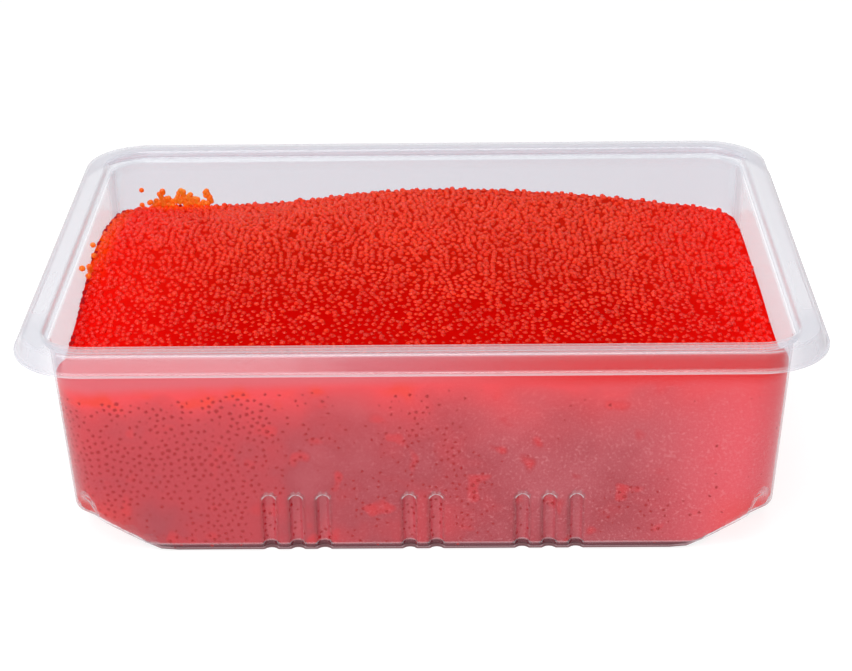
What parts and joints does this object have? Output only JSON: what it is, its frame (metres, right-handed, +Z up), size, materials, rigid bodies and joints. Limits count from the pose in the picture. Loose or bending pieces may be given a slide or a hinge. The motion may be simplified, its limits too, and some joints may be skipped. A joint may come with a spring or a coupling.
{
  "type": "tub of tobiko",
  "caption": "Clear rectangular plastic tub with a flanged rim, fluted walls and cut base corners, heaped with red flying fish roe.",
  "frame": {"origin": "middle of the tub's flat underside, on the surface it stands on", "axes": "+X along the tub's length, +Y across it from the picture's front to its back, +Z up out of the open top"},
  "size_m": [0.18, 0.132, 0.054],
  "materials": {
    "clear_plastic": "clear, gloss",
    "roe": "wet, moist gloss"
  },
  "bodies": {
    "root": {"tub": "clear_plastic", "roe": "roe"}
  },
  "joints": []
}
